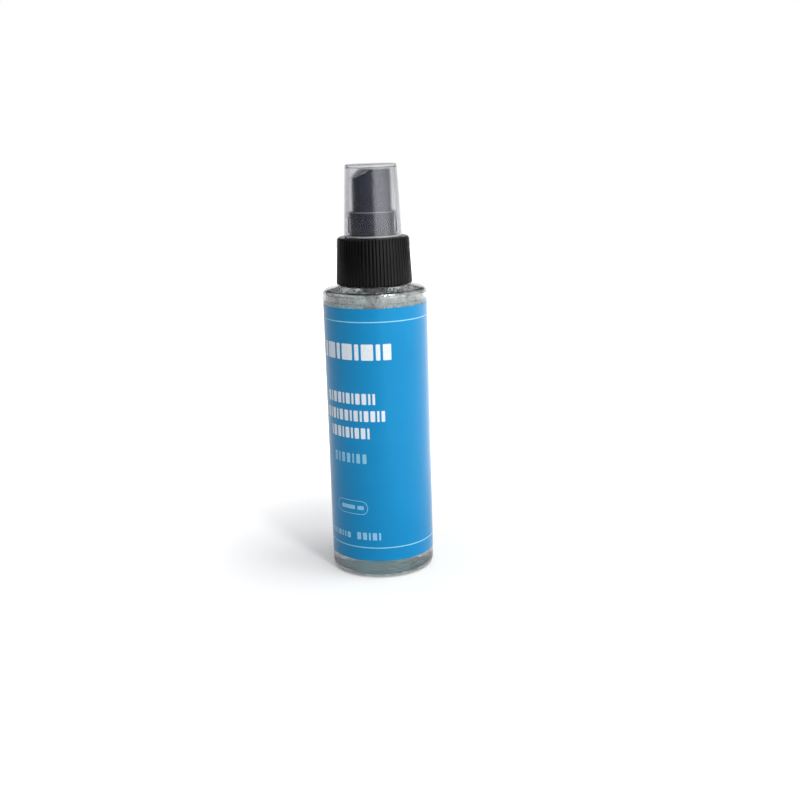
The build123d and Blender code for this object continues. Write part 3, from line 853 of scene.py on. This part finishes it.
def closure_mesh():
    """The closure as rings: up the ribbed wall, over the bevel, and down the inside."""
    segments = RIBS * RIB_SAMPLES
    wall_high = CLOSURE_HIGH - CLOSURE_BEVEL

    def crest(height):
        share = (height - CLOSURE_LOW) / (CLOSURE_HIGH - CLOSURE_LOW)
        return CLOSURE_LOW_RADIUS + (CLOSURE_HIGH_RADIUS - CLOSURE_LOW_RADIUS) * share

    rings = [
        (crest(CLOSURE_LOW) - 0.42 * MM, CLOSURE_LOW, 0.0),
        (crest(CLOSURE_LOW) - 0.30 * MM, CLOSURE_LOW + 0.03 * MM, 0.35),
        (crest(CLOSURE_LOW), CLOSURE_LOW + 0.30 * MM, 1.0),
        (crest((CLOSURE_LOW + wall_high) / 2), (CLOSURE_LOW + wall_high) / 2, 1.0),
        (crest(wall_high) - 0.02 * MM, wall_high - 0.10 * MM, 1.0),
        (crest(wall_high) - 0.08 * MM, wall_high + 0.02 * MM, 0.9),
        (crest(wall_high) - 0.36 * MM, wall_high + 0.36 * MM, 0.25),
        (crest(wall_high) - 0.52 * MM, CLOSURE_HIGH - 0.06 * MM, 0.0),
        (crest(wall_high) - 0.68 * MM, CLOSURE_HIGH, 0.0),
        (CLOSURE_HOLE + 0.25 * MM, CLOSURE_HIGH, 0.0),
        (CLOSURE_HOLE, CLOSURE_HIGH - 0.2 * MM, 0.0),
        (CLOSURE_HOLE, CLOSURE_HIGH - CLOSURE_PLATE, 0.0),
        (CLOSURE_BORE - 0.3 * MM, CLOSURE_HIGH - CLOSURE_PLATE, 0.0),
        (CLOSURE_BORE, CLOSURE_HIGH - CLOSURE_PLATE - 0.3 * MM, 0.0),
        (CLOSURE_BORE, CLOSURE_LOW + 0.4 * MM, 0.0),
        (CLOSURE_BORE + 0.3 * MM, CLOSURE_LOW, 0.0),
    ]
    vertices = []
    for radius, height, ribbed in rings:
        for segment in range(segments):
            angle = TURN * segment / segments
            valley = RIB_DEPTH * ribbed * (1 - rib_profile(segment % RIB_SAMPLES / RIB_SAMPLES))
            reach = radius - valley
            vertices.append((reach * math.cos(angle), reach * math.sin(angle), height))
    faces = ring_faces(len(rings), segments)
    return make_object("closure_ribbed", vertices, faces, [closure_black], 40.0)


THREAD_PITCH = 25.4 / 8 * MM
THREAD_TURNS = 1.25
THREAD_LOW = 112.406 * MM
THREAD_START = math.radians(90)
THREAD_TIP = 10.95 * MM


def closure_thread():
    """The bead inside the closure's wall."""
    vertices = []
    steps = 120
    for step in range(steps + 1):
        share = step / steps
        angle = THREAD_START + TURN * THREAD_TURNS * share
        height = THREAD_LOW + THREAD_PITCH * THREAD_TURNS * share
        fade = smooth_step(share, 0, 0.04) * smooth_step(1 - share, 0, 0.04)
        tip = CLOSURE_BORE + (THREAD_TIP - CLOSURE_BORE) * fade
        outline = (
            (CLOSURE_BORE + 0.2 * MM, height - 1.07 * MM),
            (tip, height - 0.3 * MM),
            (tip, height + 0.3 * MM),
            (CLOSURE_BORE + 0.2 * MM, height + 1.07 * MM),
        )
        for radius, level in outline:
            vertices.append((radius * math.cos(angle), radius * math.sin(angle), level))
    faces = ring_faces(steps + 1, 4, closed=False)
    faces += [(0, 1, 2, 3), tuple(range(4 * steps, 4 * steps + 4))]
    return make_object("closure_thread", vertices, faces, [closure_black], 30.0)


closure = join("closure_ribbed", [closure_mesh(), closure_thread()])
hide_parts("closure")
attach(closure, "closure")

# ---------------------------------------------- overcap
OVERCAP_LOW_RADIUS = radius_of("overcap")
OVERCAP_HIGH_RADIUS = 9.25 * MM
OVERCAP_WALL = 1.0 * MM
OVERCAP_DRAFT = (OVERCAP_LOW_RADIUS - OVERCAP_HIGH_RADIUS) / (OVERCAP_HIGH - OVERCAP_LOW)
OVERCAP_RIM = 0.6 * MM
OVERCAP_EDGE = 0.75 * MM
GRIP_RIBS = 3
GRIP_START = math.radians(6.5)
GRIP_LOW = 126.0 * MM
GRIP_HIGH = 131.5 * MM
GRIP_TIP = 8.7 * MM
GRIP_HALF_WIDTH = 0.4 * MM


def overcap_shell():
    """Drafted cup, with a rounded top edge, a small gate mark on top and rounded corners at its mouth."""
    ceiling = OVERCAP_HIGH - OVERCAP_WALL
    inner_low = OVERCAP_LOW_RADIUS - OVERCAP_WALL
    inner_high = OVERCAP_HIGH_RADIUS - OVERCAP_WALL + OVERCAP_WALL * OVERCAP_DRAFT
    gate = 0.9 * MM
    rim_high = OVERCAP_LOW + OVERCAP_RIM
    rim_draft = OVERCAP_RIM * OVERCAP_DRAFT
    outline = rounded(
        [
            (0.0, OVERCAP_HIGH - 0.15 * MM, 0),
            (gate, OVERCAP_HIGH - 0.15 * MM, 0),
            (gate + 0.25 * MM, OVERCAP_HIGH, 0),
            (OVERCAP_HIGH_RADIUS, OVERCAP_HIGH, 0.7 * MM),
            (OVERCAP_LOW_RADIUS - rim_draft, rim_high, 0),
            (OVERCAP_LOW_RADIUS, OVERCAP_LOW, 0.3 * MM),
            (inner_low, OVERCAP_LOW, 0.3 * MM),
            (inner_low - rim_draft, rim_high, 0),
            (inner_high, ceiling, 0.4 * MM),
            (0.0, ceiling, 0),
        ]
    )
    return lathe("overcap_shell", outline, overcap_clear, 224, 30.0)


def grip_rib(index):
    """A rib inside the mouth that grips the collar."""
    angle = GRIP_START + TURN * index / GRIP_RIBS
    along = Vector((math.cos(angle), math.sin(angle), 0))
    across = Vector((-along.y, along.x, 0)) * GRIP_HALF_WIDTH
    vertices = []
    for height in (GRIP_LOW, GRIP_LOW + 0.4 * MM, GRIP_HIGH - 1.2 * MM, GRIP_HIGH):
        wall = OVERCAP_LOW_RADIUS - OVERCAP_WALL - (height - OVERCAP_LOW) * OVERCAP_DRAFT + 0.15 * MM
        tip = wall - 0.05 * MM if height in (GRIP_LOW, GRIP_HIGH) else GRIP_TIP
        middle = (wall + tip) / 2
        profile = ((wall, -1), (middle, -0.75), (tip, -0.3), (tip, 0.3), (middle, 0.75), (wall, 1))
        for reach, side in profile:
            vertices.append(tuple(along * reach + across * side + Vector((0, 0, height))))
    faces = ring_faces(4, 6, closed=False) + [tuple(range(6)), tuple(range(18, 24))]
    return make_object("grip_rib", vertices, faces, [overcap_clear], 60.0)


overcap = join("overcap_shell", [overcap_shell()] + [grip_rib(index) for index in range(GRIP_RIBS)])
overcap.data.materials.append(overcap_rim)
for overcap_face in overcap.data.polygons:
    face_middle = overcap_face.center
    at_mouth = face_middle.z < OVERCAP_LOW + OVERCAP_RIM
    at_top = face_middle.z > OVERCAP_HIGH - OVERCAP_EDGE
    at_side = face_middle.xy.length > OVERCAP_HIGH_RADIUS - OVERCAP_EDGE
    if at_mouth or (at_top and at_side):
        overcap_face.material_index = 1
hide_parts("overcap")
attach(overcap, "overcap")

# ---------------------------------------------- return spring: a coil of round wire riding with the pump
SPRING_LOW, SPRING_HIGH = heights_of("return_spring")
SPRING_WIRE = 0.3 * MM
SPRING_COIL_RADIUS = radius_of("return_spring") - SPRING_WIRE
SPRING_TURNS = 8
SPRING_END_TURNS = 1.0
SPRING_STEPS = 48


def coil_height(turn):
    """Height of the wire's middle: the coils lie close for a turn at each end."""
    closed_pitch = SPRING_WIRE * 2.1
    low, high = SPRING_LOW + SPRING_WIRE, SPRING_HIGH - SPRING_WIRE
    open_turns = SPRING_TURNS - 2 * SPRING_END_TURNS
    open_pitch = (high - low - 2 * SPRING_END_TURNS * closed_pitch) / open_turns
    at_low = min(turn, SPRING_END_TURNS) * closed_pitch
    at_high = max(0.0, turn - SPRING_TURNS + SPRING_END_TURNS) * closed_pitch
    between = min(max(turn - SPRING_END_TURNS, 0.0), open_turns) * open_pitch
    return low + at_low + between + at_high


def coil_spring():
    """Round wire wound in a helix."""
    vertices = []
    sections = SPRING_TURNS * SPRING_STEPS
    for section in range(sections + 1):
        turn = section / SPRING_STEPS
        outward = Vector((math.cos(TURN * turn), math.sin(TURN * turn), 0))
        centre = outward * SPRING_COIL_RADIUS + Vector((0, 0, coil_height(turn)))
        for side in range(10):
            around = TURN * side / 10
            lift = Vector((0, 0, SPRING_WIRE * math.sin(around)))
            vertices.append(tuple(centre + outward * SPRING_WIRE * math.cos(around) + lift))
    faces = ring_faces(sections + 1, 10, closed=False)
    faces += [tuple(range(10)), tuple(range(sections * 10, sections * 10 + 10))]
    return make_object("spring_coil", vertices, faces, [spring_steel], 60.0)


spring = coil_spring()
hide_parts("return_spring")
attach(spring, "pump")
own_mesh(spring)

# ---------------------------------------------- camera
CAMERA_SIDE = 36.5  # degrees round from the front of the label
CAMERA_AZIMUTH = math.radians(CAMERA_SIDE)
CAMERA_DISTANCE = 428.1 * MM
CAMERA_HEIGHT = 163.08 * MM
CAMERA_YAW = math.radians(-1.074)
CAMERA_PITCH = math.radians(-13.161)
CAMERA_ROLL = math.radians(-1.695)
CAMERA_LENS = 53.03
SENSOR_WIDTH = 36.0


def at_azimuth(degrees, distance, height=0.0):
    """A point this far from the axis: azimuth 0 is in front of the label."""
    angle = math.radians(degrees)
    return (distance * math.sin(angle), -distance * math.cos(angle), height)


def make_camera():
    """A camera a little above the bottle and to the right of the label's middle."""
    data = bpy.data.cameras.new("camera")
    data.lens = CAMERA_LENS
    data.sensor_width = SENSOR_WIDTH
    data.clip_start = 0.01
    data.clip_end = 20.0
    camera = bpy.data.objects.new("camera", data)
    turn = Matrix.Rotation(CAMERA_AZIMUTH + CAMERA_YAW, 4, "Z")
    tilt = Matrix.Rotation(math.radians(90) + CAMERA_PITCH, 4, "X")
    roll = Matrix.Rotation(CAMERA_ROLL, 4, "Z")
    place = Matrix.Translation(at_azimuth(CAMERA_SIDE, CAMERA_DISTANCE, CAMERA_HEIGHT))
    camera.matrix_world = place @ turn @ tilt @ roll
    bpy.context.scene.collection.objects.link(camera)
    bpy.context.scene.camera = camera


# ---------------------------------------------- studio
FLOOR_RADIUS = 1.2
FLOOR_SEGMENTS = 96
GLOW_NEAR = 0.21
GLOW_NEAR_CLEAR = 0.90
GLOW_FROM = 0.035
GLOW_TO = 0.20
GLOW_FOR_DIFFUSE = 0.3
MIRRORED_DIM = 0.25
MIRRORED_FROM = -0.02
MIRRORED_TO = 0.10

# azimuth, half width and softness in degrees, top as a sine, brightness: backdrop, window side, window
PANELS = [
    (CAMERA_SIDE + 180, 44, 8, 0.20, 0.95),
    (CAMERA_SIDE + 93, 25, 5, 0.60, 0.95),
    (CAMERA_SIDE + 41, 32, 2, 0.60, 3.2),
]
PANEL_TOP_SOFTNESS = 0.06
ROOM_LEVEL = 0.05
ROOM_LEVEL_CLEAR = 0.70
CEILING_LEVEL = 0.5
CEILING_FROM = 0.36
CEILING_TO = 0.7
AIM_HEIGHT = 0.07


def make_floor():
    """A pale floor that brightens away from the object, so that it meets the background without a line.

    It lights other surfaces less than it shows, and its reflection is dimmer to the camera's left."""
    angles = [TURN * segment / FLOOR_SEGMENTS for segment in range(FLOOR_SEGMENTS)]
    vertices = [(FLOOR_RADIUS * math.cos(angle), FLOOR_RADIUS * math.sin(angle), 0.0) for angle in angles]
    mesh = bpy.data.meshes.new("floor")
    mesh.from_pydata(vertices, [], [tuple(range(FLOOR_SEGMENTS))])
    floor = bpy.data.objects.new("floor", mesh)
    bpy.context.scene.collection.objects.link(floor)
    nodes = Nodes("floor_paper")
    length = nodes.vector_maths("LENGTH", nodes.where).outputs["Value"]
    light_path = nodes.add("ShaderNodeLightPath").outputs
    nearest = nodes.remap(light_path["Is Transmission Ray"], 0.0, 1.0, GLOW_NEAR, GLOW_NEAR_CLEAR)
    glow = nodes.remap(length, GLOW_FROM, GLOW_TO, nearest, 1.0, "SMOOTHSTEP")
    diffuse_share = nodes.remap(light_path["Is Diffuse Ray"], 0.0, 1.0, 1.0, GLOW_FOR_DIFFUSE)
    glow = nodes.maths("MULTIPLY", glow, diffuse_share)
    bright_side = (math.cos(CAMERA_AZIMUTH), math.sin(CAMERA_AZIMUTH), 0.0)
    rightward = nodes.vector_maths("DOT_PRODUCT", nodes.where, bright_side).outputs["Value"]
    mirrored = nodes.remap(rightward, MIRRORED_FROM, MIRRORED_TO, MIRRORED_DIM, 1.0, "SMOOTHSTEP")
    dimming = nodes.maths("SUBTRACT", mirrored, 1.0)
    dimming = nodes.maths("MULTIPLY", light_path["Is Glossy Ray"], dimming)
    glow = nodes.maths("MULTIPLY", glow, nodes.maths("ADD", dimming, 1.0))
    fibres = nodes.noise(900, detail=3.0)
    nodes.set(
        Base_Color=nodes.mix(fibres, (0.86, 0.86, 0.865, 1.0), (0.88, 0.88, 0.885, 1.0)),
        Roughness=0.9,
        Specular_IOR_Level=0.1,
        Emission_Color=(1.0, 1.0, 1.0, 1.0),
        Emission_Strength=glow,
    )
    nodes.material.cycles.emission_sampling = "NONE"
    mesh.materials.append(nodes.material)


def area_light(name, azimuth, height, distance, size, watts):
    """A square soft box, aimed at the middle of the bottle."""
    data = bpy.data.lights.new(name, "AREA")
    data.shape = "SQUARE"
    data.size = size
    data.energy = watts
    light = bpy.data.objects.new(name, data)
    light.location = at_azimuth(azimuth, distance, height)
    aim = Vector((0, 0, AIM_HEIGHT)) - light.location
    light.rotation_mode = "QUATERNION"
    light.rotation_quaternion = aim.to_track_quat("-Z", "Y")
    bpy.context.scene.collection.objects.link(light)


def make_world():
    """White behind the object, with light and reflections from a bright right side and a dim left one."""
    world = bpy.data.worlds.new("studio")
    bpy.context.scene.world = world
    world.use_nodes = True
    tree = world.node_tree
    tree.nodes.clear()

    def add(kind, settings=None, inputs=None):
        node = tree.nodes.new(kind)
        for key, value in (settings or {}).items():
            setattr(node, key, value)
        for key, value in (inputs or {}).items():
            if isinstance(value, bpy.types.NodeSocket):
                tree.links.new(value, node.inputs[key])
            else:
                node.inputs[key].default_value = value
        return node

    def maths(operation, first, second):
        return add("ShaderNodeMath", {"operation": operation}, {0: first, 1: second}).outputs["Value"]

    def vector_maths(operation, *inputs):
        return add("ShaderNodeVectorMath", {"operation": operation}, dict(enumerate(inputs))).outputs

    def ease(value, low, high):
        limits = {"Value": value, "From Min": low, "From Max": high}
        return add("ShaderNodeMapRange", {"interpolation_type": "SMOOTHSTEP"}, limits).outputs["Result"]

    def blend(share, first, second):
        return add("ShaderNodeMix", {"data_type": "FLOAT"}, {0: share, 2: first, 3: second}).outputs[0]

    direction = add("ShaderNodeTexCoord").outputs["Generated"]
    flat = vector_maths("MULTIPLY", direction, (1, 1, 0))["Vector"]
    flat = vector_maths("NORMALIZE", flat)["Vector"]
    height = add("ShaderNodeSeparateXYZ", inputs={0: direction}).outputs["Z"]
    light_path = add("ShaderNodeLightPath").outputs
    unmirrored = maths("LESS_THAN", light_path["Glossy Depth"], 0.5)
    refracted = maths("MULTIPLY", light_path["Is Transmission Ray"], unmirrored)
    level = blend(refracted, ROOM_LEVEL, ROOM_LEVEL_CLEAR)
    for azimuth, half_width, soft, top, panel_level in PANELS:
        facing = vector_maths("DOT_PRODUCT", flat, at_azimuth(azimuth, 1.0))["Value"]
        edges = (math.cos(math.radians(half_width + soft)), math.cos(math.radians(half_width - soft)))
        across = ease(facing, *edges)
        below = ease(height, top + PANEL_TOP_SOFTNESS, top - PANEL_TOP_SOFTNESS)
        level = blend(maths("MULTIPLY", across, below), level, panel_level)
    level = blend(ease(height, CEILING_FROM, CEILING_TO), level, CEILING_LEVEL)
    lit = add("ShaderNodeBackground", inputs={"Color": (1, 1, 1, 1), "Strength": level}).outputs[0]
    seen = add("ShaderNodeBackground", inputs={"Color": (1, 1, 1, 1), "Strength": 1.0}).outputs[0]
    chosen = add("ShaderNodeMixShader", inputs={0: light_path["Is Camera Ray"], 1: lit, 2: seen})
    add("ShaderNodeOutputWorld", inputs={"Surface": chosen.outputs[0]})


make_camera()
make_floor()
make_world()
area_light("key_right", CAMERA_SIDE + 80, height=1.17, distance=0.32, size=0.35, watts=2.9)
area_light("key_front", CAMERA_SIDE + 27, height=0.60, distance=0.52, size=0.09, watts=1.6)
bpy.context.scene.view_settings.view_transform = "Standard"
